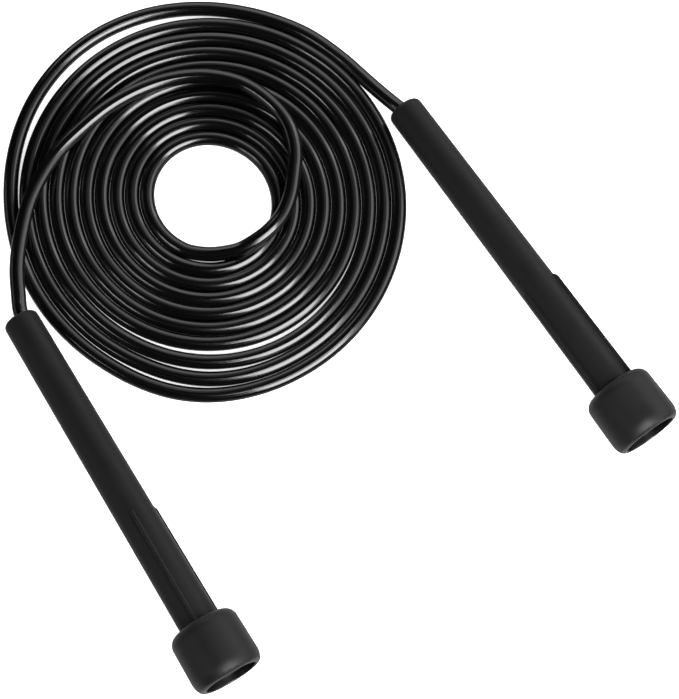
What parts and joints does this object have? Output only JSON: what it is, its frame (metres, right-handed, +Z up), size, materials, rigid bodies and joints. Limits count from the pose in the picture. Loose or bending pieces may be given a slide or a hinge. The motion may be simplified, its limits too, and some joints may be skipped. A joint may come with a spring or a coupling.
{
  "type": "jump rope",
  "caption": "Skipping rope with slim ribbed handles and rubber end caps, its round PVC cord wound in a flat coil on the floor.",
  "frame": {"origin": "on the floor under the middle of the two handles' box", "axes": "+Z up; the handles lie side by side and splayed, with their caps towards -Y, and the coil lies between them towards +Y and -X"},
  "size_m": [0.2367, 0.2517, 0.0259],
  "materials": {
    "handle_plastic": "fine satin moulded black",
    "cap_rubber": "matte black rubber",
    "plug_plastic": "semi-gloss black moulded plastic",
    "washer_nylon": "natural white nylon",
    "stopper_metal": "plain, with crimp marks",
    "rope_pvc": "glossy extruded black PVC"
  },
  "bodies": {
    "rope": {"rope_coil": "rope_pvc", "rope_lead_left": "rope_pvc", "rope_lead_right": "rope_pvc", "rope_stopper_left": "stopper_metal", "rope_stopper_right": "stopper_metal"},
    "handle_left": {"handle_left": "handle_plastic"},
    "cap_left": {"end_cap_left": "cap_rubber", "end_plug_left": "plug_plastic"},
    "washer_left": {"washer_left": "washer_nylon"},
    "handle_right": {"handle_right": "handle_plastic"},
    "cap_right": {"end_cap_right": "cap_rubber", "end_plug_right": "plug_plastic"},
    "washer_right": {"washer_right": "washer_nylon"}
  },
  "joints": [
    {"name": "handle_left_spin", "type": "hinge", "parent": "rope", "child": "handle_left", "pos_m": [-0.1124, 0.0258, 0.00629], "axis": [0.5159, -0.8553, 0.0475], "continuous": true},
    {"name": "cap_left_pull", "type": "slide", "parent": "handle_left", "child": "cap_left", "axis": [0.5159, -0.8553, 0.0475], "range_m": [0, 0.024]},
    {"name": "washer_left_spin", "type": "hinge", "parent": "rope", "child": "washer_left", "pos_m": [-0.1124, 0.0258, 0.00629], "axis": [0.5159, -0.8553, 0.0475], "continuous": true},
    {"name": "handle_right_spin", "type": "hinge", "parent": "rope", "child": "handle_right", "pos_m": [0.0231, 0.1038, 0.00629], "axis": [0.5701, -0.8202, 0.0475], "continuous": true},
    {"name": "cap_right_pull", "type": "slide", "parent": "handle_right", "child": "cap_right", "axis": [0.5701, -0.8202, 0.0475], "range_m": [0, 0.024]},
    {"name": "washer_right_spin", "type": "hinge", "parent": "rope", "child": "washer_right", "pos_m": [0.0231, 0.1038, 0.00629], "axis": [0.5701, -0.8202, 0.0475], "continuous": true}
  ]
}
